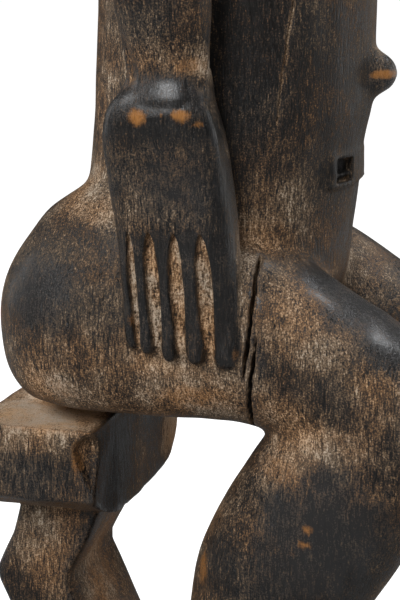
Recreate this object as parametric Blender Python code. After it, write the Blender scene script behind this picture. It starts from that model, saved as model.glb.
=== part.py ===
"""Seated spirit spouse figure, carved with its stool and base from one block of wood.

Metres, +Z up. The figure faces -Y and its right side is -X. The origin is the middle of the base's
underside. Places on the figure are given as forward, side and height: side grows from its middle plane
towards its right or left side, and height is zero at the top of the stool's seat.
"""

import math

import bmesh
import bpy
from mathutils import Vector

# Base and stool
BASE_RADIUS = 0.070
BASE_THICKNESS = 0.015
BASE_EDGE = 0.0025
BASE_MIDDLE = 0.004  # how far the base's middle is ahead of the torso's axis
STOOL_HEIGHT = 0.108  # from the base's top to the seat's top
SEAT_WIDTH = 0.072
SEAT_DEPTH = 0.0315
SEAT_FRONT = 0.0255  # how far the seat's front edge is behind the torso's axis
SEAT_THICKNESS = 0.0265
SEAT_END_RISE = 0.009  # how much thinner the seat is at its ends
SEAT_CURVE_RIGHT = 3.0  # how late the underside turns up towards each end
SEAT_CURVE_LEFT = 9.0
CHIP_WIDTH = 0.0055  # bite out of the seat's front corner on the figure's right
CHIP_DEPTH = 0.0055
CHIP_HEIGHT = 0.016
POST_WIDTH = 0.037
POST_DEPTH = 0.0205

# Figure
SITTING_HEIGHT = 0.318  # from the seat's top to the top of the hair
FIGURE_SHARES = 318.0  # the figure's own places are in parts of its sitting height
STOOL_SHARES = 108.0  # and below the seat in parts of the stool's height
LIMB_SINK = 2.0  # how deep a limb's end goes into what carries it, in those parts
NAVEL_HEIGHT = 82.7
BLOCK_HEIGHT = 61.0  # middle of the raised band of scars on the belly
BLOCK_SIDE = 17.5
BLOCK_RISE = 3.4  # from its middle to its upper and lower bar
BLOCK_BOSS = 8.4  # half-width of the plain boss between its two pockets
BLOCK_POCKET = 1.4
FINGER_RISE = 2.2  # how far the fingers stand above the beds between them
CRACK_WIDTH = 1.3
TOE_GAP_LINE = ((34, 10), (41, 7.5), (52, 4))  # how far forward, and how high above the base
NECK_RINGS = 3
HAIR_BRAIDS = 26

# Fineness of the facets
TORSO_SIDES = 24
LIMB_SIDES = 16
SMALL_SIDES = 8
BASE_SIDES = 48
WELD = 0.00002

FORWARD, SIDE, UP = Vector((0, -1, 0)), Vector((-1, 0, 0)), Vector((0, 0, 1))
UNIT = SITTING_HEIGHT / FIGURE_SHARES
LEG_UNIT = STOOL_HEIGHT / STOOL_SHARES
SEAT_TOP = BASE_THICKNESS + STOOL_HEIGHT


def place(forward, side, height):
    """The point at this place on the figure. Below the seat, heights follow the stool's height."""
    rise = height * (UNIT if height > 0 else LEG_UNIT)
    return Vector((-side * UNIT, BASE_MIDDLE - forward * UNIT, SEAT_TOP + rise))


def oval(sides, power):
    """Points round an oval of half-width 1; the higher its power, the squarer it is."""
    out = []
    for k in range(sides):
        turn = math.tau * (k + 0.5) / sides
        pair = (math.cos(turn), math.sin(turn))
        out.append(tuple(math.copysign(abs(c) ** (2 / power), c) for c in pair))
    return out


def solid(name, rings):
    """A closed mesh object through rings of points, each with a flat face over its end."""
    bm = bmesh.new()
    rows = [[bm.verts.new(p) for p in ring] for ring in rings]
    for low, high in zip(rows, rows[1:]):
        for k in range(len(low)):
            bm.faces.new((low[k - 1], low[k], high[k], high[k - 1]))
    bm.faces.new(rows[0])
    bm.faces.new(rows[-1])
    bmesh.ops.recalc_face_normals(bm, faces=bm.faces)
    mesh = bpy.data.meshes.new(name)
    bm.to_mesh(mesh)
    bm.free()
    return bpy.data.objects.new(name, mesh)


def loft(name, stations, sides, power=2.2):
    """A solid through ovals. A station is a centre and the vectors of its two half-widths."""
    outline = oval(sides, power)
    return solid(name, [[c + u * a + v * b for a, b in outline] for c, u, v in stations])


def upright(name, rows, sides, power=2.2, hand=1):
    """A loft through level ovals. A row is height, forward, side, half-depth and half-width."""
    stations = []
    for z, f, s, depth, width in rows:
        stations.append((place(f, hand * s, z), SIDE * (hand * width * UNIT), FORWARD * (depth * UNIT)))
    return loft(name, stations, sides, power)


def flattened(name, rows, sides, power, hand):
    """A loft through ovals that stand across the figure.

    A row is forward, top, bottom, side and half-width.
    """
    stations = []
    for f, top, bottom, s, width in rows:
        high, low = place(f, hand * s, top), place(f, hand * s, bottom)
        stations.append(((high + low) / 2, SIDE * (hand * width * UNIT), (high - low) / 2))
    return loft(name, stations, sides, power)


def base():
    """The round base, with a softened upper and lower edge."""
    turns = [math.tau * k / BASE_SIDES for k in range(BASE_SIDES)]
    profile = [
        (BASE_RADIUS - BASE_EDGE, 0),
        (BASE_RADIUS, BASE_EDGE),
        (BASE_RADIUS, BASE_THICKNESS - BASE_EDGE),
        (BASE_RADIUS - BASE_EDGE, BASE_THICKNESS),
    ]
    return solid(
        "seated_figure", [[Vector((r * math.cos(t), r * math.sin(t), z)) for t in turns] for r, z in profile]
    )


def seat():
    """The slab of the seat: flat above, its underside turning up towards the ends."""
    half, steps = SEAT_WIDTH / 2, 9
    outline = [(half, 0), (-half, 0)]
    for k in range(-steps, steps + 1):
        share = math.sin(math.pi / 2 * k / steps)
        curve = SEAT_CURVE_RIGHT if share < 0 else SEAT_CURVE_LEFT
        outline.append((half * share, SEAT_END_RISE * abs(share) ** curve - SEAT_THICKNESS))
    front = BASE_MIDDLE + SEAT_FRONT
    return solid(
        "seat", [[Vector((s, y, SEAT_TOP + z)) for s, z in outline] for y in (front, front + SEAT_DEPTH)]
    )


def seat_joint():
    """The wood left between the figure and the middle of the seat, where the carver did not cut through."""
    middle = -(SEAT_FRONT + SEAT_DEPTH / 2) / UNIT
    rows = [(-LIMB_SINK, middle, 0, 13.5, 15), (3, middle + 0.5, 0, 12.5, 13.5)]
    rows += [(9, middle + 1.5, 0, 13, 15)]
    return upright("seat_joint", rows, SMALL_SIDES + 4, 2.6)


def post():
    """The zigzag post between the base and the seat, in the middle of the seat's depth."""
    middle = -(SEAT_FRONT + SEAT_DEPTH / 2) / UNIT
    rows = [
        (LIMB_SINK - SEAT_THICKNESS / LEG_UNIT, 0.6, 1.06),
        (-34, -2.6, 1.0),
        (-43.5, -7.2, 0.96),
        (-46.5, -7.2, 0.96),
        (-65, 0.9, 0.98),
        (-79, 5.0, 0.98),
        (-83, 4.8, 0.98),
        (-100, -2.0, 1.05),
        (-LIMB_SINK - STOOL_SHARES, -4.0, 1.2),
    ]
    half_depth, half_width = FORWARD * (POST_DEPTH / 2), SIDE * (POST_WIDTH / 2)
    stations = [(place(middle + lean, 0, z), half_width, half_depth * swell) for z, lean, swell in rows]
    return loft("post", stations, 8, 16)


def torso():
    """The long barrel of the trunk, with its shoulders. Rows: height, forward, half-depth, half-width."""
    rows = [
        (6, -10, 20, 22),
        (30, -4.4, 30, 32),
        (46, -3.5, 31.7, 34),
        (57, -2.9, 32.6, 34.5),
        (67, -1.9, 32.7, 34.5),
        (75, -0.6, 33.2, 34.5),
        (86, -0.2, 33.1, 34.4),
        (100, 0.1, 33.1, 34.2),
        (116, 0.2, 32.8, 34),
        (134, -0.2, 31.4, 34),
        (152, -1.4, 30.2, 35.5),
        (168, -2.6, 29.6, 38.5),
        (182, -4.0, 27.5, 41),
        (192, -5.2, 23.5, 40),
        (199, -6.0, 17.5, 31),
        (203, -6.2, 13.5, 20),
    ]
    return upright("torso", [(z, f, 0, d, w) for z, f, d, w in rows], TORSO_SIDES, 2.12)


def buttock(hand):
    """One side of the hips, deep and round behind, just clear of the seat at its outer side."""
    rows = [
        (3.8, -15.5, 20.0, 27, 10),
        (5.2, -15.0, 20.5, 31.4, 15.5),
        (8.4, -15.0, 20.8, 34.0, 19),
        (13, -15.0, 20.9, 36.0, 21),
        (19, -15.0, 20.9, 37.3, 22.0),
        (27, -15.0, 20.6, 38.0, 22.0),
        (35, -14.6, 19.8, 36.9, 21.6),
        (43, -13.8, 18.0, 33.6, 21.2),
        (50, -12.5, 15.5, 29.2, 20.6),
        (56, -10.5, 13.5, 23.5, 18.8),
        (60, -9.0, 12.0, 19.0, 16.0),
    ]
    return upright("buttock", rows, LIMB_SIDES, 2.3, hand=hand)


def thigh(hand):
    """One thigh, level below and sloping down above to the knee."""
    rows = [
        (-22, 36, 5, 22, 17),
        (-4, 47.0, 3.6, 24.5, 18),
        (10, 46.8, 3.4, 25.5, 18.2),
        (22, 41.6, 1, 26, 18),
        (34, 34.2, -5, 26.5, 17.5),
        (46, 27.2, -12, 27, 17),
        (57, 20.8, -14, 27, 16),
        (64, 15.2, -11, 27, 14),
        (68, 10.5, -6, 27, 10.5),
        (69.5, 7, -2.5, 27, 7),
    ]
    return flattened("thigh", rows, LIMB_SIDES, 2.4, hand)


def calf(hand):
    """One full calf, leaning back to the ankle.

    Rows: distance down the shin from the knee, thickness, how far it is set back, side and half-width.
    """
    knee_forward, knee_height, lean = 69.0, 10.3, math.radians(30)
    rows = [
        (2, 28, 2.0, 27, 11),
        (8, 38, 0.3, 27, 14.5),
        (18, 42, 0, 27, 16),
        (35, 42.4, 0, 27, 17),
        (47, 43.2, 0, 26.8, 17.2),
        (57, 43.2, 0, 26.5, 17.2),
        (69, 41.7, 0, 26, 16.6),
        (80, 37.8, 0, 25.5, 15.6),
        (93, 31.4, 0.5, 25, 13.6),
        (105, 24.4, 1.6, 24.5, 11.4),
        (116, 19.6, 3.0, 24.2, 9.6),
        (126, 18.4, 4.6, 24, 9.0),
    ]
    stations = []
    for down, thick, inset, s, w in rows:
        ahead, below = math.sin(lean), math.cos(lean)
        f, z = knee_forward - down * ahead - inset * below, knee_height - down * below + inset * ahead
        front = place(f, hand * s, z)
        back = place(f - thick * below, hand * s, z + thick * ahead)
        stations.append(((front + back) / 2, SIDE * (hand * w * UNIT), (front - back) / 2))
    return loft("calf", stations, LIMB_SIDES, 2.25)


def foot(hand):
    """One foot flat on the base. Rows: forward, height above the base, side and half-width."""
    rows = [
        (-13.5, 7, 23.5, 4.5),
        (-12, 13, 23.5, 7.5),
        (-6, 20, 23.8, 9),
        (4, 23, 24.2, 9.6),
        (14, 17, 25, 10.4),
        (26, 11.5, 26, 12),
        (38, 8.5, 27, 13.4),
        (46, 6.5, 27.5, 13.4),
        (49.5, 4, 27.5, 12),
    ]
    sole = -STOOL_SHARES - LIMB_SINK
    rows = [(f, tall - STOOL_SHARES, sole, s, width) for f, tall, s, width in rows]
    return flattened("foot", rows, LIMB_SIDES - 4, 2.6, hand)


def toe_gaps(hand):
    """The grooves between the toes of one foot."""
    out = []
    for k in range(4):
        s = 27.3 + (k - 1.5) * 5.0
        rows = []
        for f, tall in TOE_GAP_LINE:
            rows.append((f, tall + 3.4 - STOOL_SHARES, tall - 3.4 - STOOL_SHARES, s, 0.9))
        out.append(flattened("toe_gap", rows, 6, 2, hand))
    return out


def arm(hand):
    """One arm from the shoulder to the wrist, clear of the trunk below the armpit."""
    rows = [
        (199, -6.5, 33, 9, 8),
        (194, -6.8, 40, 13.5, 11.5),
        (184, -7.2, 46, 14.5, 12),
        (172, -7.6, 49.5, 13.6, 10.6),
        (157, -8.4, 51.6, 12.2, 9.2),
        (146, -8.8, 52.3, 11.6, 8.6),
        (138, -8.4, 52, 12.0, 8.8),
        (126, -6.6, 51, 12.4, 8.6),
        (112, -5.2, 49.2, 11.6, 8.0),
        (100, -4.4, 47.8, 10.7, 7.2),
        (90, -3.9, 47, 9.7, 6.6),
        (83, -3.6, 46.3, 9.3, 6.6),
        (78, -4.0, 44.8, 10.6, 7.6),
    ]
    return upright("arm", rows, LIMB_SIDES - 2, 2.25, hand=hand)


def palm(hand):
    """The back of one hand, laid on the hip, and the bed that its fingers stand on."""
    rows = [
        (84, -3.7, 44.5, 9.0, 6.8),
        (79, -5.0, 43.8, 10.7, 7.9),
        (72, -5.0, 43, 12.6, 7.9),
        (62, -4.3, 42, 13.5, 7.6),
        (54, -3.5, 41.4, 13.6, 7.2),
        (51.5, -3.2, 41.1, 13.5, 6.9),
        (48.5, -2.8, 40.3, 13.3, 5.6),
        (34, -2.0, 39.9, 12.9, 5.2),
        (25, -1.7, 39.5, 12.2, 4.9),
    ]
    return upright("palm", rows, LIMB_SIDES, 3.4, hand=hand)


def fingers(hand):
    """The straight fingers, and the broad thumb in front of them.

    Rows: forward at the knuckle and at the tip, half-width, the tip's height, how far out the finger lies.
    """
    rows = [
        (-14.0, -12.3, 1.5, 22.9, 44.4),
        (-10.4, -8.3, 1.5, 22.3, 46.2),
        (-5.1, -3.1, 1.5, 21.0, 46.8),
        (1.0, 2.8, 1.85, 20.7, 46.8),
        (8.7, 9.0, 2.9, 19.8, 45.6),
    ]
    out = []
    for knuckle, tip, half, low, outer in rows:
        stations = []
        profile = [(58, 0.4, 3.0), (54, 0.9, 1.0), (44, 1.0, 0.4), (30, 1.0, 0.2)]
        profile += [(low + 1.6, 0.95, 0.4), (low, 0.6, 1.4)]
        for z, share, drop in profile:
            f = tip + (knuckle - tip) * (z - low) / (49 - low)
            thick = FINGER_RISE * 2 - drop
            middle = place(f, hand * (outer - drop - thick / 2), z)
            stations.append((middle, SIDE * (hand * thick / 2 * UNIT), FORWARD * (half * share * UNIT)))
        out.append(loft("finger", stations, SMALL_SIDES, 3))
    return out


def neck():
    """The tall neck with its raised rings."""
    low, high, radius, swell = 196, 232, 14.5, 2.0
    rows = [(low, -6.5, 0, radius + 4, radius + 5)]
    span = (high - low - 6) / NECK_RINGS
    for k in range(NECK_RINGS):
        for share, grow in ((0.15, 0), (0.5, swell), (0.85, 0)):
            z = low + 4 + span * (k + share)
            lean = -6.0 + 4.0 * (z - low) / (high - low)
            rows.append((z, lean, 0, radius + grow, radius + grow))
    rows.append((high, -2, 0, radius, radius))
    return upright("neck", rows, TORSO_SIDES - 8, 2)


def head():
    """The egg of the head, with its chin ahead of the neck."""
    rows = [
        (226, 11, 0, 7, 7),
        (229, 8.5, 0, 14, 12.5),
        (235, 5.0, 0, 21, 17),
        (243, 1.5, 0, 25.5, 20.5),
        (253, -1.2, 0, 28.2, 22.6),
        (265, -2.6, 0, 29.4, 23.6),
        (278, -3.2, 0, 29.6, 23.8),
        (290, -4, 0, 28.2, 22.4),
        (300, -5, 0, 23, 18),
        (306, -5.5, 0, 15, 12),
    ]
    return upright("head", rows, TORSO_SIDES - 4, 2.1)


def hair():
    """The hair: a high cap of combed braids with a knot at the back of the crown."""
    rows = [
        (243, -20, 9, 15),
        (250, -17, 14.5, 20.5),
        (262, -13.5, 19.5, 24.2),
        (274, -10.5, 23.2, 26),
        (283, -8.2, 25.6, 26.4),
        (290, -5.4, 28.6, 26.2),
        (298, -5.0, 27.6, 24.6),
        (306, -5.8, 23.8, 20.6),
        (312, -7.2, 18.5, 15.2),
        (316, -8.2, 12.0, 9.6),
        (318, -8.6, 6.0, 4.8),
    ]
    sides = HAIR_BRAIDS * 2
    rings = []
    for z, f, depth, width in rows:
        ring = []
        for k in range(sides):
            turn = math.tau * k / sides
            grow = 1.0 if k % 2 else 0.955
            ring.append(place(f + depth * grow * math.cos(turn), width * grow * math.sin(turn), z))
        rings.append(ring)
    return solid("hair", rings)


def knot():
    """The knot of hair that hangs behind the crown."""
    rows = [
        (306, -30, 0, 4, 6),
        (300, -34, 0, 7, 8.4),
        (290, -37.5, 0, 8, 9.4),
        (278, -38, 0, 7.6, 9),
        (267, -36, 0, 6.4, 7.4),
        (259, -33, 0, 4, 5),
    ]
    return upright("knot", rows, LIMB_SIDES - 6, 2.2)


def nose():
    """The long straight nose from the brow to its wings."""
    rows = [
        (273, 25.2, 0, 3.2, 2.3),
        (265, 27.4, 0, 3.6, 2.1),
        (257, 29.6, 0, 4.2, 2.8),
        (251.5, 30.6, 0, 4.6, 4.4),
        (249, 29, 0, 3.4, 3.6),
    ]
    return upright("nose", rows, SMALL_SIDES, 2)


def lens(name, middle, across, tall, out):
    """A low almond that stands out of a surface: its middle, half-width, half-height and rise."""
    profile = ((-1.0, 0.7), (0.0, 1.0), (0.6, 0.75), (1.0, 0.3))
    high = UP * (tall * UNIT)
    stations = [(middle + out * level, across * share, high * share) for level, share in profile]
    return loft(name, stations, SMALL_SIDES, 2)


def eye(hand):
    """One half-closed eye, below the brow."""
    turn = 0.42
    out = (FORWARD + SIDE * (turn * hand)).normalized() * (2.0 * UNIT)
    across = (SIDE * hand - FORWARD * turn).normalized() * (5.6 * UNIT)
    return lens("eye", place(23.7, hand * 9.6, 264.5), across, 2.7, out)


def brow(hand):
    """One arched brow, from the nose to the temple."""
    stations = []
    for k in range(6):
        t = k / 5
        s = 2.0 + 16.5 * t
        z = 270.0 + 4.2 * math.sin(math.pi * (0.12 + 0.80 * t))
        f = 26.1 - 0.2 * s - 0.021 * s * s
        thick = (1.5 - 0.8 * abs(2 * t - 0.8)) * UNIT
        stations.append((place(f, hand * s, z), FORWARD * thick * 1.3, UP * thick))
    return loft("brow", stations, 8, 2)


def mouth():
    """The small closed mouth: an upper and a lower lip."""
    out = FORWARD * (2.6 * UNIT)
    upper = lens("upper_lip", place(25.4, 0, 243.4), SIDE * (6.0 * UNIT), 1.5, out)
    lower = lens("lower_lip", place(24.6, 0, 240.6), SIDE * (5.2 * UNIT), 1.5, out)
    return [upper, lower]


def ear(hand):
    """One ear, a raised C on the side of the head."""
    stations = []
    for k in range(8):
        turn = math.radians(-140 + 280 * k / 7)
        away = FORWARD * -math.cos(turn) + UP * math.sin(turn)
        middle = place(-4.0 - 3.6 * math.cos(turn), hand * 23.6, 262.5 + 6.6 * math.sin(turn))
        stations.append((middle, SIDE * (3.0 * UNIT), away * (1.6 * UNIT)))
    return loft("ear", stations, 8, 2.4)


def breast(hand):
    """One low pectoral on the chest."""
    stations = []
    for f, radius in ((20, 15), (24, 13.2), (27, 10.6), (29.2, 7.4), (30.6, 3.6), (31, 1.4)):
        middle = place(f, hand * 15.5, 165 - 0.12 * f)
        stations.append((middle, SIDE * (hand * radius * UNIT), UP * (radius * UNIT)))
    return loft("breast", stations, LIMB_SIDES, 2)


def navel():
    """The jutting navel, a blunt cone."""
    stations = []
    for f, radius in ((26, 6.5), (32.5, 6.0), (34.6, 5.2), (37.0, 4.0), (38.5, 2.4), (39.0, 1.0)):
        stations.append((place(f, 0, NAVEL_HEIGHT), SIDE * (radius * UNIT), UP * (radius * UNIT)))
    return loft("navel", stations, SMALL_SIDES + 4, 2)


def belly(side):
    """How far forward the belly's skin lies at the height of the scars."""
    return 30.3 - side * side / 81


def scar_block():
    """The raised band of scars below the navel: three bars, an end at each side and a boss in the middle."""
    out = []
    for rise in (BLOCK_RISE, -0.6, -BLOCK_RISE):
        stations = []
        for share in (-1, -0.5, 0, 0.5, 1):
            s = BLOCK_SIDE * share
            middle = place(belly(s) - 1.8, s, BLOCK_HEIGHT + rise)
            stations.append((middle, FORWARD * (2.5 * UNIT), UP * (0.85 * UNIT)))
        out.append(loft("bar", stations, 8, 8))
    for s, width in ((1 - BLOCK_SIDE, 1.0), (0, BLOCK_BOSS), (BLOCK_SIDE - 1, 1.0)):
        front = belly(s) + 0.6
        across, high = SIDE * (width * UNIT), UP * ((BLOCK_RISE + 0.7) * UNIT)
        stations = [(place(f, s, BLOCK_HEIGHT), across, high) for f in (25, front)]
        out.append(loft("upright_bar", stations, 8, 8))
    return out


def scar_pockets(hand):
    """The pockets sunk between the bars of the scars on one side."""
    out = []
    for low, high in ((-2.55, -1.45), (0.25, 2.55)):
        stations = []
        for s in (BLOCK_BOSS, 9.0, 12.0, BLOCK_SIDE - 2):
            middle = place(belly(s) + 2 - BLOCK_POCKET, hand * s, BLOCK_HEIGHT + (low + high) / 2)
            stations.append((middle, FORWARD * (2 * UNIT), UP * ((high - low) / 2 * UNIT)))
        out.append(loft("pocket", stations, 8, 8))
    return out


def seat_chip():
    """The bite out of the seat's front corner on the figure's right."""
    corner = Vector((-SEAT_WIDTH / 2, BASE_MIDDLE + SEAT_FRONT, SEAT_TOP))
    stations = []
    for drop, share in ((-0.15, 0.3), (0.1, 0.7), (0.35, 1.0), (0.7, 0.6), (1.0, 0.1)):
        middle = corner - UP * (CHIP_HEIGHT * drop)
        stations.append((middle, SIDE * (CHIP_WIDTH * share), FORWARD * (CHIP_DEPTH * share)))
    return loft("seat_chip", stations, 8, 2)


def crack(name, rows, depth):
    """A crack that gapes along a line of places. Rows: forward, side, height and share of the full width."""
    gape, across = FORWARD * (CRACK_WIDTH / 2 * UNIT), SIDE * (depth * UNIT)
    return loft(name, [(place(f, s, z), across, gape * share) for f, s, z, share in rows], 4, 2)


def cracks():
    """The long drying cracks down the hip and the side of the trunk, both on the figure's right."""
    hip = [(14.6, 35, 51, 0.4), (14.2, 39, 46, 0.9), (14.3, 42, 38, 1)]
    hip += [(13.6, 43, 27, 1), (12.4, 43, 17, 0.5)]
    fork = [(15.4, 43, 25.4, 0.4), (14.4, 43, 17.3, 1.1), (13.2, 42, 7.9, 1.1), (12.8, 42, 2, 0.3)]
    side = [(22.5, 27, 118, 0.3), (20.6, 30, 100, 0.8), (19.4, 30, 92, 1)]
    side += [(18, 31, 82, 1), (17, 31, 72, 0.4)]
    return [crack("hip_crack", hip, 5), crack("hip_fork", fork, 4), crack("side_crack", side, 4)]


def wood():
    """Dark, smoked and oiled wood."""
    material = bpy.data.materials.new("blackened_wood")
    material.use_nodes = True
    shader = material.node_tree.nodes["Principled BSDF"]
    shader.inputs["Base Color"].default_value = (0.035, 0.029, 0.026, 1)
    shader.inputs["Roughness"].default_value = 0.42
    shader.inputs["Metallic"].default_value = 0.0
    return material


def guides(name, solids):
    """A collection of these solids, shown as wires and left out of the model itself."""
    group = bpy.data.collections.new(name)
    bpy.context.scene.collection.children.link(group)
    for ob in solids:
        ob.hide_render = True
        ob.display_type = "WIRE"
        group.objects.link(ob)
    return group


def combine(ob, operation, group):
    """Adds or cuts away a whole collection of solids."""
    modifier = ob.modifiers.new(group.name, "BOOLEAN")
    modifier.operation = operation
    modifier.operand_type = "COLLECTION"
    modifier.collection = group
    modifier.solver = "EXACT"


def build():
    """The whole carving: base, stool and figure as one solid."""
    for ob in list(bpy.data.objects):
        bpy.data.objects.remove(ob, do_unlink=True)
    carving = base()
    carving.data.materials.append(wood())
    bpy.context.scene.collection.objects.link(carving)
    forms = [seat(), seat_joint(), post(), torso(), neck(), head(), hair(), knot(), nose(), navel()]
    forms += mouth() + scar_block()
    cuts = [seat_chip()] + cracks()
    for hand in (1, -1):
        forms += [buttock(hand), thigh(hand), calf(hand), foot(hand), arm(hand), palm(hand)]
        forms += [breast(hand), eye(hand), brow(hand), ear(hand)]
        forms += fingers(hand)
        cuts += toe_gaps(hand) + scar_pockets(hand)
    combine(carving, "UNION", guides("forms", forms))
    combine(carving, "DIFFERENCE", guides("cuts", cuts))
    weld = carving.modifiers.new("weld", "WELD")
    weld.merge_threshold = WELD


build()
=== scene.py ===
"""Seated spirit spouse figure: the looks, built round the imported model.

The carving is one piece of wood, so it is one piece here: the same forms as the solid, drawn finely, melted
together and then carved on. Its places are in millimetres, as forward, side and height: forward from the
trunk's axis, side from the middle plane towards the figure's right, and height from the seat's top.
"""

import math

import bmesh
import bpy
import numpy as np
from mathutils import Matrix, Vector


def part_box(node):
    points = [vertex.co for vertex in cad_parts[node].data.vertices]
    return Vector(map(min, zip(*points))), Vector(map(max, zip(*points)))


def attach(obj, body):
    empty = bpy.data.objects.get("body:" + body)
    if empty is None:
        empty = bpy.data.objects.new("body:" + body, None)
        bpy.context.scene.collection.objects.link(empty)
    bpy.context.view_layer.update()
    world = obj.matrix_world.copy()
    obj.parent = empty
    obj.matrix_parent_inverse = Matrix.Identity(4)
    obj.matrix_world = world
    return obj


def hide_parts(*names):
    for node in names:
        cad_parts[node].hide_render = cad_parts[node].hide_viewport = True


bl_info = {
    "name": "Seated spirit spouse figure",
    "version": (1, 0, 0),
    "blender": (4, 5, 0),
    "location": "View3D > Sidebar > Carving",
    "description": "Carves the figure, its stool and its base, finishes the wood and lights it",
    "category": "Object",
}

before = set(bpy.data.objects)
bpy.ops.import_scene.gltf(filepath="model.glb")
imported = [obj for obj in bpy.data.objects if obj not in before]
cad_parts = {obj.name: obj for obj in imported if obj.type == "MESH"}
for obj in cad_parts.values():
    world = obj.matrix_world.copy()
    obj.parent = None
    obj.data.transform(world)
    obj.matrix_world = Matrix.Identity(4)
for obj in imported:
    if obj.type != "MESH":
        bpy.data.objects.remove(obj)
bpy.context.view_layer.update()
NODE = "seated_figure"
LOW, HIGH = (np.array(corner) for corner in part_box(NODE))

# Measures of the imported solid
TOTAL_SHARES = 441.0
MM = float(HIGH[2] - LOW[2]) / TOTAL_SHARES  # a millimetre, at the carving's real size
BASE_RADIUS = float(HIGH[0] - LOW[0]) / 2 / MM
BASE_THICKNESS = 15.0
BASE_EDGE = 2.5
BASE_SIDES = 160
SEAT_TOP = 123.0
BASE_MIDDLE = 4.0
BASE_TOP = BASE_THICKNESS - SEAT_TOP

# The photograph's view: the camera stands to the figure's right, a little ahead and above
VIEW_TURN, VIEW_RISE = math.radians(15.5), math.radians(12.2)
VIEW_TARGET = (-9.33, 0.0, 25.4)
VIEW_DISTANCE = 400.0
VIEW_LENS = 96.0


def toward_camera():
    """The direction from the carving to the camera."""
    level = math.cos(VIEW_RISE)
    return Vector((-math.cos(VIEW_TURN) * level, -math.sin(VIEW_TURN) * level, math.sin(VIEW_RISE)))


def linked(name, data):
    """A new object of this data, in the scene."""
    ob = bpy.data.objects.new(name, data)
    bpy.context.scene.collection.objects.link(ob)
    return ob


def place(forward, side, height):
    """The point at this place on the figure, in metres."""
    return Vector((-side * MM, (BASE_MIDDLE - forward) * MM, (SEAT_TOP + height) * MM))


def places(points):
    """Forward, side and height of an array of points in metres."""
    return BASE_MIDDLE - points[:, 1] / MM, -points[:, 0] / MM, points[:, 2] / MM - SEAT_TOP


def step(low, high, value):
    """0 below low, 1 above high, and smooth between them."""
    t = np.clip((value - low) / (high - low), 0, 1)
    return t * t * (3 - 2 * t)


def eased(rows, steps=4):
    """Rows of numbers on smooth curves through all of these rows, steps to each span."""
    rows = np.array(rows, float)
    padded = np.vstack([rows[:1], rows, rows[-1:]])
    t = np.linspace(0, 1, steps, endpoint=False)[:, None]
    out = []
    for p, q, r, w in zip(padded, padded[1:], padded[2:], padded[3:]):
        bend = (2 * q + (r - p) * t + (2 * p - 5 * q + 4 * r - w) * t**2 + (3 * q - p - 3 * r + w) * t**3) / 2
        out.append(bend)
    return np.vstack(out + [rows[-1:]])


def hashed(cells, seed):
    """A number from 0 to 1 for each lattice cell, always the same one."""
    mixed = cells[..., 0] * 374761393 + cells[..., 1] * 668265263 + cells[..., 2] * 2147483647 + seed * 97531
    mixed = (mixed ^ (mixed >> 13)) * 1274126177
    mixed = mixed ^ (mixed >> 16)
    return (mixed & 0xFFFFFF) / float(0xFFFFFF)


def noise(points, size, seed=0):
    """Smooth noise from -1 to 1 over points in metres, in lumps of size millimetres, one number or three."""
    at = points / (np.array(size, float) * MM)
    cell = np.floor(at).astype(np.int64)
    part = at - cell
    part = part * part * (3 - 2 * part)
    total = np.zeros(len(points))
    for corner in np.ndindex(2, 2, 2):
        share = np.prod(np.where(np.array(corner), part, 1 - part), axis=1)
        total += share * hashed(cell + np.array(corner), seed)
    return total * 2 - 1


# Forms of the carving. Each is a stack of ovals


class Forms:
    """Vertices and faces of closed shapes that are gathered before they are melted into one."""

    def __init__(self):
        self.points, self.faces = [], []

    def rings(self, rings):
        """Adds a closed shape through rings of points, capped flat at both ends."""
        start, count = len(self.points), len(rings[0])
        for ring in rings:
            self.points.extend(tuple(p) for p in ring)
        for i in range(len(rings) - 1):
            low = start + i * count
            for k in range(count):
                after = (k + 1) % count
                self.faces.append((low + k, low + after, low + count + after, low + count + k))
        self.faces.append(tuple(range(start, start + count)))
        last = start + (len(rings) - 1) * count
        self.faces.append(tuple(range(last, last + count)))

    def loft(self, stations, power=2.2, sides=56):
        """Adds a shape through ovals: each station is a centre and its two half-width vectors, in metres."""
        turns = math.tau * (np.arange(sides) + 0.5) / sides
        across, along = (np.copysign(np.abs(w(turns)) ** (2 / power), w(turns)) for w in (np.cos, np.sin))
        rings = []
        for centre, u, v in stations:
            rings.append(np.array(centre) + np.outer(across, np.array(u)) + np.outer(along, np.array(v)))
        self.rings(rings)

    def upright(self, rows, power=2.2, hand=1, sides=56):
        """Adds a shape of level ovals. A row is height, forward, side, half-depth and half-width."""
        stations = []
        for z, f, s, depth, width in eased(rows):
            stations.append((place(f, hand * s, z), (-width * MM, 0, 0), (0, -depth * MM, 0)))
        self.loft(stations, power, sides)

    def across(self, rows, power, hand):
        """Adds a shape of standing ovals. A row is forward, top, bottom, side and half-width."""
        stations = []
        for f, top, bottom, s, width in eased(rows):
            middle, half = (top + bottom) / 2, (top - bottom) / 2
            stations.append((place(f, hand * s, middle), (-width * MM, 0, 0), (0, 0, half * MM)))
        self.loft(stations, power)

    def mesh(self, name):
        """The gathered shapes as one mesh, not yet melted together."""
        mesh = bpy.data.meshes.new(name)
        mesh.from_pydata(self.points, [], self.faces)
        bm = bmesh.new()
        bm.from_mesh(mesh)
        bmesh.ops.recalc_face_normals(bm, faces=bm.faces)
        bm.to_mesh(mesh)
        bm.free()
        return mesh


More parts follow.
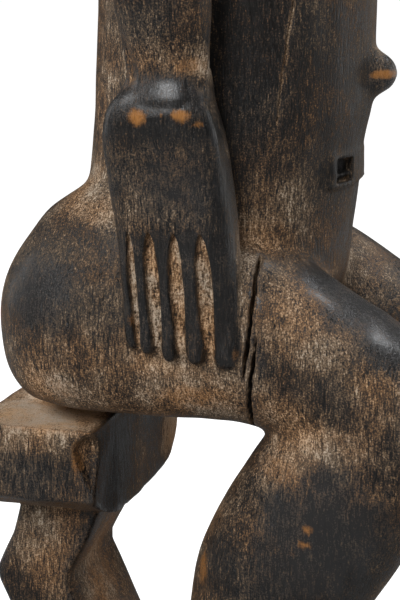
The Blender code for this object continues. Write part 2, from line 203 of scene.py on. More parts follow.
# Height, forward, side, half-depth, half-width
TORSO = [
    (6, -10, 0, 20, 22), (30, -4.4, 0, 30, 32), (46, -3.5, 0, 31.7, 34), (57, -2.9, 0, 32.6, 34.5),
    (67, -1.9, 0, 32.7, 34.5), (75, -0.6, 0, 33.2, 34.5), (86, -0.2, 0, 33.1, 34.4),
    (100, 0.1, 0, 33.1, 34.2), (116, 0.2, 0, 32.8, 34), (134, -0.2, 0, 31.4, 34),
    (152, -1.4, 0, 30.2, 35.5), (168, -2.6, 0, 29.6, 38.5), (182, -4, 0, 27.5, 41),
    (192, -5.2, 0, 23.5, 40), (199, -6, 0, 17.5, 31), (203, -6.2, 0, 13.5, 20),
]
BUTTOCK = [
    (3.8, -15.5, 20, 27, 10), (5.2, -15, 20.5, 31.4, 15.5), (8.4, -15, 20.8, 34, 19),
    (13, -15, 20.9, 36, 21), (19, -15, 20.9, 37.3, 22), (27, -15, 20.6, 38, 22),
    (35, -14.6, 19.8, 36.9, 21.6), (43, -13.8, 18, 33.6, 21.2), (50, -12.5, 15.5, 29.2, 20.6),
    (56, -10.5, 13.5, 23.5, 18.8), (60, -9, 12, 19, 16),
]
ARM = [
    (199, -6.5, 33, 9, 8), (194, -6.8, 40, 13.5, 11.5), (184, -7.2, 46, 14.5, 12),
    (172, -7.6, 49.5, 13.6, 10.6), (157, -8.4, 51.6, 12.2, 9.2), (146, -8.8, 52.3, 11.6, 8.6),
    (138, -8.4, 52, 12, 8.8), (126, -6.6, 51, 12.4, 8.6), (112, -5.2, 49.2, 11.6, 8),
    (100, -4.4, 47.8, 10.7, 7.2), (90, -3.9, 47, 9.7, 6.6), (83, -3.6, 46.3, 9.3, 6.6),
    (78, -4, 44.8, 10.6, 7.6),
]
PALM = [
    (86, -3.7, 45.2, 8.8, 6), (83, -4, 44.6, 9.4, 7), (79, -5, 43.8, 10.7, 7.9), (72, -5, 43, 12.6, 8),
    (62, -4.3, 42, 13.5, 7.7), (51, -3.1, 41.1, 13.5, 7.1), (40, -2.4, 40.6, 13.2, 6.9),
    (30, -2, 40.2, 12.8, 6.6), (26.5, -1.8, 40, 12.5, 6), (24, -1.8, 39.6, 12.2, 4.9),
    (21.5, -1.8, 39.2, 11.8, 3.4), (19.5, -1.8, 39, 11.2, 2),
]
NECK_LOW, NECK_HIGH, NECK_RADIUS, NECK_RING, NECK_RINGS = 196, 232, 14.5, 2.0, 3
HEAD = [
    (226, 11, 0, 7, 7), (229, 8.5, 0, 14, 12.5), (235, 5, 0, 21, 17), (243, 1.5, 0, 25.5, 20.5),
    (253, -1.2, 0, 28.2, 22.6), (265, -2.6, 0, 29.4, 23.6), (278, -3.2, 0, 29.6, 23.8),
    (290, -4, 0, 28.2, 22.4), (300, -5, 0, 23, 18), (306, -5.5, 0, 15, 12),
]
HAIR = [
    (243, -20, 0, 9, 15), (250, -17, 0, 14.5, 20.5), (262, -13.5, 0, 19.5, 24.2),
    (274, -10.5, 0, 23.2, 26), (283, -8.2, 0, 25.6, 26.4), (290, -5.4, 0, 28.6, 26.2),
    (298, -5, 0, 27.6, 24.6), (306, -5.8, 0, 23.8, 20.6), (312, -7.2, 0, 18.5, 15.2),
    (316, -8.2, 0, 12, 9.6), (318, -8.6, 0, 6, 4.8),
]
KNOT = [
    (306, -30, 0, 4, 6), (300, -34, 0, 7, 8.4), (290, -37.5, 0, 8, 9.4), (278, -38, 0, 7.6, 9),
    (267, -36, 0, 6.4, 7.4), (259, -33, 0, 4, 5),
]
NOSE = [(273, 25.2, 0, 3.2, 2.3), (265, 27.4, 0, 3.6, 2.1), (257, 29.6, 0, 4.2, 2.8)]
NOSE += [(251.5, 30.6, 0, 4.6, 4.4), (249, 29, 0, 3.4, 3.6)]
EYE_SIDE, EYE_HEIGHT, EYE_HALF, EYE_TALL, EYE_RISE = 9.6, 264.5, 5.8, 3.0, 2.8
EYE_TURN = 0.42  # how far the eyes look to the sides
LID_HEIGHT, LID_DEPTH = 264.3, 0.9
BROW_START, BROW_LENGTH, BROW_HEIGHT, BROW_ARCH, BROW_THICK = 2.0, 16.5, 270.0, 4.2, 1.5
LIPS = ((243.6, 6.2), (240.4, 5.4))  # height and half-width
LIP_TALL, LIP_RISE, MOUTH_HEIGHT, MOUTH_DEPTH = 1.6, 2.8, 242.0, 0.7
FACE_SINK = 0.6  # how deep the eyes and lips start below the face
EAR_SIDE, EAR_HEIGHT, EAR_DEEP, EAR_TALL, EAR_THICK = 23.6, 262.5, 3.6, 6.6, 1.6
BRAIDS, BRAID_DEPTH, PLAIT_DEPTH, PLAIT_PITCH = 26, 1.0, 0.22, 3.6
KNOT_STRANDS, KNOT_DEPTH = 14, 0.8
BREAST_SIDE, BREAST_HEIGHT, BREAST_DROP = 15.5, 165, 0.12
BREAST = [(20, 15), (24, 13.2), (27, 10.6), (29.2, 7.4), (30.6, 3.6), (31, 1.4)]  # forward, radius
# Forward, top, bottom, side, half-width
THIGH = [
    (-22, 36, 5, 22, 17), (-4, 47, 3.6, 24.5, 18), (10, 46.8, 3.4, 25.5, 18.2), (22, 41.6, 1, 26, 18),
    (34, 34.2, -5, 26.5, 17.5), (46, 27.2, -12, 27, 17), (57, 20.8, -14, 27, 16), (64, 15.2, -11, 27, 14),
    (68, 10.5, -6, 27, 10.5), (69.5, 7, -2.5, 27, 7),
]
# Distance down the shin, thickness, how far it is set back, side, half-width
CALF = [
    (2, 28, 2, 27, 11), (8, 38, 0.3, 27, 14.5), (18, 42, 0, 27, 16), (35, 42.4, 0, 27, 17),
    (47, 43.2, 0, 26.8, 17.2), (57, 43.2, 0, 26.5, 17.2), (69, 41.7, 0, 26, 16.6),
    (80, 37.8, 0, 25.5, 15.6), (93, 31.4, 0.5, 25, 13.6), (105, 24.4, 1.6, 24.5, 11.4),
    (116, 19.6, 3, 24.2, 9.6), (126, 18.4, 4.6, 24, 9),
]
KNEE_FORWARD, KNEE_HEIGHT, SHIN_LEAN = 69.0, 10.3, math.radians(30)
# Forward, height above the base, side, half-width
FOOT = [
    (-13.5, 7, 23.5, 4.5), (-12, 13, 23.5, 7.5), (-6, 20, 23.8, 9), (4, 23, 24.2, 9.6),
    (14, 17, 25, 10.4), (26, 11.5, 26, 12), (38, 8.5, 27, 13.4), (46, 6.5, 27.5, 13.4),
    (49.5, 4, 27.5, 12),
]
TOE_MIDDLE, TOE_PITCH, TOE_GAP_DEPTH = 27.3, 5.0, 1.7
NAIL_FORWARD, NAIL_HALF_WIDTH, NAIL_HALF_LENGTH, NAIL_DEPTH = 47.3, 1.7, 2.2, 0.35
LIMB_SINK = 2.0
# Forward at the knuckle and at the tip, half-width, the tip's height, how far out the finger's back lies
FINGERS = [
    (-14.2, -12.9, 1.4, 22.9, 45.4),
    (-10.4, -9.1, 1.6, 22.3, 46.6),
    (-5.2, -3.9, 1.7, 21, 47),
    (0.8, 2.2, 2, 20.7, 46.8),
    (8.6, 8.8, 3, 19.8, 45.4),
]
KNUCKLE_HEIGHT, FINGER_THICK = 49, 5.2
# Height on a finger, then above its tip, with the share of its half-width and how far its back drops
FINGER_RUN = [(44, 0.85, 1.6), (36, 0.95, 0.6), (30, 1.0, 0.3)]
FINGER_TIP = [(3, 1.0, 0.2), (1.2, 0.86, 0.6), (0.3, 0.6, 1.2), (0, 0.3, 1.8)]
# The beds between the fingers: forward at the top and at the tips, and the widest half-width
GROOVES = [(-12.7, -11.2, 0.95), (-8.0, -6.5, 1.65), (-2.3, -1.0, 1.65), (3.9, 5.6, 1.8)]
GROOVE_TOP, GROOVE_FOOT, GROOVE_DEPTH = 50.3, 21.5, 1.9
# Share of the way down a bed, and of its half-width there
GROOVE_WIDTHS = [(0, 0.1), (0.05, 0.45), (0.2, 0.85), (0.45, 1.0), (0.75, 0.8), (1.0, 0.5)]
WRIST_STEP = 3.0
NAVEL_HEIGHT = 82.7
NAVEL = [(26, 6.5), (32.5, 6.0), (34.6, 5.2), (37.0, 4.0), (38.5, 2.4), (39.0, 1.0)]  # forward, radius
BELLY_FORWARD, BELLY_CURVE = 30.3, 81
# The raised band of scars
BLOCK_HEIGHT, BLOCK_SIDE, BLOCK_RISE, BLOCK_BOSS, BLOCK_DEEP = 61.0, 17.5, 3.4, 8.4, 2.5
SEAT_HALF, SEAT_FRONT, SEAT_DEPTH, SEAT_THICKNESS, SEAT_END_RISE = 36.0, 25.5, 31.5, 26.5, 9.0
SEAT_CURVES = (3.0, 9.0)  # how late the underside turns up on each side
# Height and reach of the bite out of the seat's front corner on the figure's right
CHIP = [(-0.3, 0.5), (-1.2, 2.2), (-3, 4.3), (-5, 5.0), (-7.5, 4.3), (-10, 3.1), (-13, 1.7), (-16, 0.3)]
POST_HALF_DEPTH, POST_HALF_WIDTH = 10.25, 18.5
# Height, how far the post leans forward, and its swelling
POST = [
    (LIMB_SINK - SEAT_THICKNESS, 0.6, 1.06),
    (-34, -2.6, 1.0),
    (-43.5, -7.2, 0.96),
    (-46.5, -7.2, 0.96),
    (-65, 0.9, 0.98),
    (-79, 5.0, 0.98),
    (-83, 4.8, 0.98),
    (-100, -2.0, 1.05),
    (BASE_TOP - LIMB_SINK, -4.0, 1.2),
]


def disc(middle, radius):
    """A station of a form that rises forward out of the trunk."""
    return middle, (-radius * MM, 0, 0), (0, 0, radius * MM)


def body_forms():
    """The forms whose joins the carver rounded over: trunk, limbs, neck and head."""
    forms = Forms()
    forms.upright(TORSO, 2.12, sides=96)
    forms.upright(HEAD, 2.1)
    forms.upright(KNOT, 2.2)
    rows = [(NECK_LOW, -6.5, 0, NECK_RADIUS + 4, NECK_RADIUS + 5)]
    span = (NECK_HIGH - NECK_LOW - 6) / NECK_RINGS
    for k in range(NECK_RINGS):
        for share, grow in ((0.15, 0), (0.5, NECK_RING), (0.85, 0)):
            z = NECK_LOW + 4 + span * (k + share)
            lean = -6.0 + 4.0 * (z - NECK_LOW) / (NECK_HIGH - NECK_LOW)
            rows.append((z, lean, 0, NECK_RADIUS + grow, NECK_RADIUS + grow))
    forms.upright(rows + [(NECK_HIGH, -2, 0, NECK_RADIUS, NECK_RADIUS)], 2)
    forms.loft([disc(place(f, 0, NAVEL_HEIGHT), r) for f, r in eased(NAVEL)], 2, 32)
    for hand in (1, -1):
        forms.upright(BUTTOCK, 2.3, hand)
        forms.upright(ARM, 2.25, hand)
        forms.across(THIGH, 2.4, hand)
        foot = [(f, tall + BASE_TOP, BASE_TOP - LIMB_SINK, s, w) for f, tall, s, w in FOOT]
        forms.across(foot, 2.6, hand)
        stations = []
        ahead, below = math.sin(SHIN_LEAN), math.cos(SHIN_LEAN)
        for down, thick, inset, s, w in eased(CALF):
            f = KNEE_FORWARD - down * ahead - inset * below
            z = KNEE_HEIGHT - down * below + inset * ahead
            front, back = place(f, hand * s, z), place(f - thick * below, hand * s, z + thick * ahead)
            stations.append(((front + back) / 2, (-hand * w * MM, 0, 0), (front - back) / 2))
        forms.loft(stations, 2.25)
        breast = []
        for f, r in eased(BREAST, 3):
            breast.append(disc(place(f, hand * BREAST_SIDE, BREAST_HEIGHT - BREAST_DROP * f), r))
        forms.loft(breast, 2)
    return forms


def seat_forms(forms):
    """The seat, what joins the figure to it, its post and the base."""
    near_end = np.linspace(0, SEAT_END_RISE - SEAT_THICKNESS, 36)
    underside = []
    for share in np.sin(np.linspace(-math.pi / 2, math.pi / 2, 81)):
        curve = SEAT_CURVES[0] if share < 0 else SEAT_CURVES[1]
        underside.append((SEAT_HALF * share, SEAT_END_RISE * abs(share) ** curve - SEAT_THICKNESS))
    rings = []
    reach = np.interp(near_end, *zip(*CHIP[::-1]))
    for set_back in np.append(np.arange(0, 6.6, 0.3), SEAT_DEPTH):
        bite = np.sqrt(np.maximum(reach**2 - set_back**2, 0))
        outline = [(SEAT_HALF, 0)] + list(zip(bite - SEAT_HALF, near_end)) + underside[1:]
        rings.append([place(-SEAT_FRONT - set_back, -x, z) for x, z in outline])
    forms.rings(rings)
    middle = -SEAT_FRONT - SEAT_DEPTH / 2
    rows = [(-LIMB_SINK, middle, 0, 13.5, 15), (3, middle + 0.5, 0, 12.5, 13.5), (9, middle + 1.5, 0, 13, 15)]
    forms.upright(rows, 2.6)
    stations = []
    for z, lean, swell in POST:
        deep = POST_HALF_DEPTH * swell * MM
        stations.append((place(middle + lean, 0, z), (-POST_HALF_WIDTH * MM, 0, 0), (0, -deep, 0)))
    forms.loft(stations, 14, 32)
    inner = BASE_RADIUS - BASE_EDGE
    turns = math.tau * np.arange(BASE_SIDES) / BASE_SIDES
    profile = ((inner, 0), (BASE_RADIUS, BASE_EDGE), (BASE_RADIUS, BASE_THICKNESS - BASE_EDGE))
    rings = []
    for r, z in (*profile, (inner, BASE_THICKNESS)):
        level = np.full(BASE_SIDES, z * MM)
        rings.append(np.stack([r * MM * np.cos(turns), r * MM * np.sin(turns), level], 1))
    forms.rings(rings)


def lens(forms, middle, across, tall, out):
    """Adds a low almond that stands out of a surface: its middle, half-width, half-height and rise."""
    profile = [(-1.0, 0.7), (0.0, 1.0), (0.6, 0.75), (0.9, 0.45), (1.0, 0.1)]
    stations = [(middle + out * a, across * b, (0, 0, tall * MM * b)) for a, b in eased(profile, 3)]
    forms.loft(stations, 2, 32)


def face_skin(side, height):
    """How far forward the plain face lies."""
    rows = np.array(HEAD)
    middle, deep, wide = (np.interp(height, rows[:, 0], rows[:, k]) for k in (1, 3, 4))
    return middle + deep * (1 - (abs(side) / wide) ** 2.1) ** (1 / 2.1)


def face_forms(forms):
    """A calm, plain face with nose, brows, half-closed eyes, closed mouth and ears, and the cap of hair."""
    forms.upright(NOSE, 2, sides=32)
    forward = Vector((0, -MM, 0))
    for z, half in LIPS:
        middle = place(face_skin(0, z) - FACE_SINK, 0, z)
        lens(forms, middle, Vector((-half * MM, 0, 0)), LIP_TALL, forward * LIP_RISE)
    for hand in (1, -1):
        out = Vector((-EYE_TURN * hand, -1, 0)).normalized()
        across = Vector((-hand, EYE_TURN, 0)).normalized()
        eye = place(face_skin(EYE_SIDE, EYE_HEIGHT) - FACE_SINK, hand * EYE_SIDE, EYE_HEIGHT)
        lens(forms, eye, across * EYE_HALF * MM, EYE_TALL, out * EYE_RISE * MM)
        stations = []
        for t in np.linspace(0, 1, 25):
            s = BROW_START + BROW_LENGTH * t
            z = BROW_HEIGHT + BROW_ARCH * math.sin(math.pi * (0.12 + 0.80 * t))
            thick = BROW_THICK - 0.8 * abs(2 * t - 0.8)
            centre = place(face_skin(s, z), hand * s, z)
            stations.append((centre, (0, -thick * 1.3 * MM, 0), (0, 0, thick * MM)))
        forms.loft(stations, 2, 20)
        stations = []
        for turn in np.radians(np.linspace(-140, 140, 30)):
            away = Vector((0, math.cos(turn), math.sin(turn)))
            f, z = -4.0 - EAR_DEEP * math.cos(turn), EAR_HEIGHT + EAR_TALL * math.sin(turn)
            stations.append((place(f, hand * EAR_SIDE, z), (-3.0 * MM, 0, 0), away * EAR_THICK * MM))
        forms.loft(stations, 2.4, 20)
    forms.upright(HAIR, 2, sides=96)


def hand_forms(forms, hand):
    """One hand laid on the hip: a flat slab, with the five finger ends below it."""
    forms.upright(PALM, 3.2, hand)
    for knuckle, tip, half, low, outer in FINGERS:
        stations = []
        end = [(low + up, share, drop) for up, share, drop in FINGER_TIP]
        for z, share, drop in FINGER_RUN + end:
            f = tip + (knuckle - tip) * (z - low) / (KNUCKLE_HEIGHT - low)
            thick = FINGER_THICK - drop
            centre = place(f, hand * (outer - drop - thick / 2), z)
            stations.append((centre, (-thick / 2 * MM, 0, 0), (0, -half * share * MM, 0)))
        forms.loft(stations, 2.8, 28)


def belly(side):
    """How far forward the belly's skin lies at the height of the scars."""
    return BELLY_FORWARD - side * side / BELLY_CURVE


def scar_forms(forms):
    """The raised band of scars on the belly: two bars, an end at each side and a boss in the middle."""
    proud = 0.6
    for rise in (BLOCK_RISE, -BLOCK_RISE):
        stations = []
        for s in np.linspace(-BLOCK_SIDE, BLOCK_SIDE, 17):
            centre = place(belly(s) - BLOCK_DEEP + proud, s, BLOCK_HEIGHT + rise)
            stations.append((centre, (0, -BLOCK_DEEP * MM, 0), (0, 0, 0.85 * MM)))
        forms.loft(stations, 3, 24)
    for middle, half in ((1 - BLOCK_SIDE, 1.0), (0, BLOCK_BOSS), (BLOCK_SIDE - 1, 1.0)):
        stations = []
        for s in np.linspace(middle - half, middle + half, 9):
            centre = place(belly(s) - 1.9, s, BLOCK_HEIGHT)
            stations.append((centre, (0, -BLOCK_DEEP * MM, 0), (0, 0, 4.1 * MM)))
        forms.loft(stations, 5, 32)


# Work on the melted mesh


def applied(ob):
    """A new mesh of this object with its modifiers applied. The object is removed."""
    mesh = bpy.data.meshes.new_from_object(ob.evaluated_get(bpy.context.evaluated_depsgraph_get()))
    bpy.data.objects.remove(ob)
    return mesh


def melted(mesh, voxel):
    """The shapes of this mesh melted into a single skin, with faces about voxel millimetres wide."""
    ob = linked("melting", mesh)
    remesh = ob.modifiers.new("melt", "REMESH")
    remesh.mode = "VOXEL"
    remesh.voxel_size = voxel * MM
    out = applied(ob)
    bpy.data.meshes.remove(mesh)
    return out


def stored(items, name, width=1, kind=np.float32):
    """What these items of a mesh keep under this name, in rows where width is more than one."""
    out = np.empty(len(items) * width, kind)
    items.foreach_get(name, out)
    return out.reshape(-1, width) if width > 1 else out


def read_points(mesh):
    return stored(mesh.vertices, "co", 3).astype(float)


def read_normals(mesh):
    return stored(mesh.vertex_normals, "vector", 3).astype(float)


def write_points(mesh, points):
    mesh.vertices.foreach_set("co", points.astype(np.float32).ravel())
    mesh.update()


class Net:
    """The edges of a mesh, to average values over neighbours."""

    def __init__(self, mesh):
        self.a, self.b = stored(mesh.edges, "vertices", 2, np.int32).T
        self.count = len(mesh.vertices)
        starts, ends = (np.bincount(end, minlength=self.count) for end in (self.a, self.b))
        self.degree = np.maximum(starts + ends, 1)

    def mean(self, values):
        """The mean of each vertex's neighbours."""
        columns = values if values.ndim == 2 else values[:, None]
        out = np.empty_like(columns)
        for k in range(columns.shape[1]):
            column = columns[:, k]
            total = np.bincount(self.a, column[self.b], self.count)
            total += np.bincount(self.b, column[self.a], self.count)
            out[:, k] = total / self.degree
        return out if values.ndim == 2 else out[:, 0]

    def relaxed(self, values, rounds, back=0.0):
        """Values after rounds of averaging by half; back, a little over half, undoes the shrinking."""
        for _ in range(rounds):
            values = values + 0.5 * (self.mean(values) - values)
            if back:
                values = values - back * (self.mean(values) - values)
        return values


def refined(mesh, near):
    """Halves the edges where near, a function of points, is true at both ends."""
    marked = near(read_points(mesh))
    bm = bmesh.new()
    bm.from_mesh(mesh)
    bm.verts.ensure_lookup_table()
    edges = [e for e in bm.edges if marked[e.verts[0].index] and marked[e.verts[1].index]]
    bmesh.ops.subdivide_edges(bm, edges=edges, cuts=1, use_grid_fill=True)
    bmesh.ops.triangulate(bm, faces=[f for f in bm.faces if len(f.verts) > 4])
    bm.to_mesh(mesh)
    bm.free()
    mesh.update()


# Cracks: forward, height and share of the width, on the figure's right, as the photograph shows them
HIP_CRACK = [
    (14.7, 49.2, 0.05), (14.3, 45, 0.7), (14.4, 38, 1),
    (14.1, 31, 0.95), (13.3, 24, 0.9), (12.5, 17.5, 0.3),
]
HIP_FORK = [
    (15.5, 27.5, 0.1), (15.1, 24, 0.5), (14.2, 17.3, 1),
    (13.4, 10.5, 1.2), (13.0, 5, 0.8), (12.8, 0.5, 0.5),
]
SIDE_CRACK = [
    (23, 130, 0.2), (19.7, 100.2, 0.9), (19.0, 93.6, 1),
    (18.2, 87, 0.9), (17.4, 80.6, 0.7), (16.6, 73, 0.2),
]
# Line, half-width, depth and the least side it is on
CRACK_LINES = [(HIP_CRACK, 0.42, 3.4, 34), (HIP_FORK, 0.46, 3.4, 34), (SIDE_CRACK, 0.22, 0.6, 20)]
CRACK_REACH = 1.2  # how far beside a crack the mesh is made finer
FAR = 1e9


def line_distance(f, z, line):
    """How far each place is from a line on the figure's side, and the line's share of its width there."""
    best, share = np.full(len(f), FAR), np.zeros(len(f))
    for (fa, za, wa), (fb, zb, wb) in zip(line, line[1:]):
        df, dz = fb - fa, zb - za
        t = np.clip(((f - fa) * df + (z - za) * dz) / (df * df + dz * dz), 0, 1)
        away = np.hypot(f - fa - t * df, z - za - t * dz)
        nearer = away < best
        best = np.where(nearer, away, best)
        share = np.where(nearer, wa + (wb - wa) * t, share)
    return best, share


def crack_field(points):
    """For each crack: how far each point is from it, its half-width there and its depth."""
    f, s, z = places(points)
    wander = 0.16 * noise(points, 4.0, 5) + 0.14 * noise(points, 1.3, 6)
    for line, half, depth, least_side in CRACK_LINES:
        away, share = line_distance(f + wander, z, line)
        ragged = half * share * (1 + 0.35 * noise(points, (1.5, 1.5, 3.0), 7))
        yield np.where(s > least_side, away, FAR), np.maximum(ragged, 0.05), depth


def groove_share(points, hand):
    """How deep each point is in the beds between one hand's fingers, 0 to 1."""
    f, s, z = places(points)
    s = s * hand
    total = np.zeros(len(points))
    wavy = 0.16 * noise(points, (3, 3, 4), 11)
    t = np.clip((GROOVE_TOP - z) / (GROOVE_TOP - GROOVE_FOOT), 0, 1)
    for top, foot, widest in GROOVES:
        half = widest * np.interp(t, *zip(*GROOVE_WIDTHS))
        above = np.maximum(z - GROOVE_TOP, 0)
        away = np.hypot(f - (top + (foot - top) * t) + wavy, above)
        total = np.maximum(total, step(half + 0.30, half - 0.40, away))
    return total * step(38.5, 40.5, s) * step(GROOVE_FOOT - 3.0, GROOVE_FOOT + 0.5, z)


def finger_share(points, hand):
    """1 on the backs of one hand's fingers, which end in round tips, and 0 off them."""
    f, s, z = places(points)
    total = np.zeros(len(points))
    for knuckle, tip, half, low, outer in FINGERS:
        beside = np.abs(f - tip - (knuckle - tip) * (z - low) / (KNUCKLE_HEIGHT - low)) / (half + 0.2)
        below = np.clip((low + 1.4 * half - z) / (1.4 * half), 0, 2)
        total = np.maximum(total, step(1.2, 0.85, np.hypot(beside, below)))
    return total * step(42.8, 43.8, s * hand) * step(54, 46, z)


def near_hand(points):
    f, s, z = places(points)
    return (np.abs(s) > 38) & (f > -19) & (f < 15) & (z > 16) & (z < 56)


def near_cracks(points):
    out = np.zeros(len(points), bool)
    for away, half, _ in crack_field(points):
        out |= away < half + CRACK_REACH
    return out


def near_scars(points):
    f, s, z = places(points)
    return (f > 22) & (np.abs(s) < 17) & (np.abs(z - BLOCK_HEIGHT) < 6)


def hair_share(points):
    """1 on the cap of hair and the knot, 0 off it, and the turn of each point about the crown."""
    f, s, z = places(points)
    rows = np.array(HAIR)
    middle, deep, wide = (np.interp(z, rows[:, 0], rows[:, k]) for k in (1, 3, 4))
    reach = np.hypot((f - middle) / np.maximum(deep, 1), s / np.maximum(wide, 1))
    cap = step(0.955, 0.985, reach) * step(242, 245, z) * step(-33, -31, f)
    cap *= np.maximum(step(289, 292, z), step(8, 4, f))
    return np.where(z > 317, 0, cap), np.arctan2(s, f - middle)


def hair_depth(points):
    """How deep the hair is cut between the braids of the cap and the strands of the knot."""
    f, s, z = places(points)
    cap, turn = hair_share(points)
    lock = np.abs(np.cos(BRAIDS / 2 * turn))
    plait = np.cos(math.tau * z / PLAIT_PITCH + 2.2 * np.sign(np.sin(BRAIDS * turn)))
    knot = step(-31.5, -33, f) * step(256, 262, z) * step(308, 303, z)
    strand = np.abs(np.cos(KNOT_STRANDS / 2 * np.arctan2(s, f + 37)))
    depth = cap * (BRAID_DEPTH * (1 - lock**0.6) + PLAIT_DEPTH * plait * lock)
    return depth + knot * KNOT_DEPTH * (1 - strand**0.6)


def foot_depth(points, normals):
    """How deep the gaps between the toes and the nails are cut."""
    f, s, z = places(points)
    side = np.abs(s)
    depth = np.zeros(len(points))
    for k in range(4):
        gap = step(1.0, 0.3, np.abs(side - TOE_MIDDLE - (k - 1.5) * TOE_PITCH))
        gap *= step(33, 37, f) * step(-90, -96, z)
        gap *= step(BASE_TOP - 0.3, BASE_TOP + 0.7, z) * step(54, 52, f)
        depth += TOE_GAP_DEPTH * gap
    for k in range(5):
        centre = TOE_MIDDLE + (k - 2) * TOE_PITCH
        nail = np.hypot((side - centre) / NAIL_HALF_WIDTH, (f - NAIL_FORWARD) / NAIL_HALF_LENGTH)
        depth += NAIL_DEPTH * step(1.15, 0.95, nail) * (normals[:, 2] > 0.1) * (z < -97) * (f > 40)
    return depth


def face_depth(points):
    """How deep the lines between the lids and between the lips are cut."""
    f, s, z = places(points)
    side = np.abs(s) - EYE_SIDE
    lid = np.abs(z - LID_HEIGHT - 0.35 * np.cos(side / 5.6 * 1.4))
    lids = step(0.75, 0.25, lid) * step(5.0, 4.2, np.abs(side)) * (f > 20)
    lips = step(0.6, 0.2, np.abs(z - MOUTH_HEIGHT - 0.02 * s * s))
    lips *= step(5.6, 4.6, np.abs(s)) * (f > 22)
    return LID_DEPTH * lids + MOUTH_DEPTH * lips


def scar_depth(points):
    """How deep the two pockets of the scars are cut, each with a bar across it."""
    f, s, z = places(points)
    rise, side = z - BLOCK_HEIGHT, np.abs(s)
    pocket = step(BLOCK_BOSS - 0.2, BLOCK_BOSS + 0.5, side) * step(-1.6, -2.3, side - BLOCK_SIDE)
    pocket *= step(2.9, 2.3, np.abs(rise)) * (f > 20)
    return pocket * (1.7 - 1.1 * step(1.0, 0.2, np.abs(rise + 1.3)))


def wrist_depth(points, normals):
    """How far the skin of the wrists sinks, and below them, less than nothing, how far it swells."""
    _, s, z = places(points)
    wrist = step(42, 48, np.abs(s)) * step(0.1, 0.6, np.abs(normals[:, 0]))
    sunk = WRIST_STEP * step(76, 85.5, z) - WRIST_STEP / 2
    return wrist * sunk * step(97, 86, z) * step(60, 74, z)


def carve(mesh):
    """Cuts and marks the melted mesh as the carver and the years did."""
    for near in (near_hand, near_scars, near_cracks):
        refined(mesh, near)
    points = read_points(mesh)
    normals = read_normals(mesh)
    _, s, z = places(points)
    inward = 0.32 * noise(points, (9, 9, 17), 1) + 0.16 * noise(points, (4.5, 4.5, 9), 2)
    inward = np.where((z < BASE_TOP - BASE_THICKNESS + 2.6) | (s > 51.5) | (s < -51.5), 0, inward)
    inward += hair_depth(points) + foot_depth(points, normals) + face_depth(points)
    inward += scar_depth(points) + wrist_depth(points, normals)
    moved = points - normals * (inward * MM)[:, None]
    bed_fade = step(22.5, 29, z)
    pits = 0.28 * noise(points, 0.8, 21) + 0.22 * noise(points, 1.7, 22)
    for hand in (1, -1):
        moved[:, 0] += hand * groove_share(points, hand) * bed_fade * (GROOVE_DEPTH + pits) * MM
    for away, half, depth in crack_field(points):
        cut = step(half + 0.12, half * 0.25, away) * depth
        moved -= normals * (cut * MM)[:, None]
    write_points(mesh, moved)


def kept_in_box(mesh):
    """Holds every vertex inside the solid's own box."""
    write_points(mesh, np.clip(read_points(mesh), LOW, HIGH))
    return mesh


def photographed(mesh):
    """Which vertices the photograph looks at."""
    points, normals = read_points(mesh), read_normals(mesh)
    _, s, z = places(points)
    return (normals @ np.array(toward_camera()) > -0.25) & (z > -40) & (z < 106) & (s > -24)


def thinned(mesh, near, far):
    """The mesh with about near triangles on its photographed side and far elsewhere."""
    for side in (False, True):
        chosen = photographed(mesh) == side
        ob = linked("thinning", mesh)
        group = ob.vertex_groups.new(name="loose")
        group.add(np.flatnonzero(chosen).tolist(), 1.0, "REPLACE")
        triangles = stored(mesh.polygons, "loop_total", kind=np.int32) - 2
        starts = stored(mesh.polygons, "loop_start", kind=np.int32)
        corners = stored(mesh.loops, "vertex_index", kind=np.int32)
        here = int(np.sum(triangles[chosen[corners[starts]]]))
        total = int(np.sum(triangles))
        modifier = ob.modifiers.new("thin", "DECIMATE")
        modifier.ratio = min(1.0, (total - here + (near if side else far)) / total)
        modifier.vertex_group = group.name
        modifier.use_collapse_triangulate = True
        mesh = applied(ob)
    return mesh
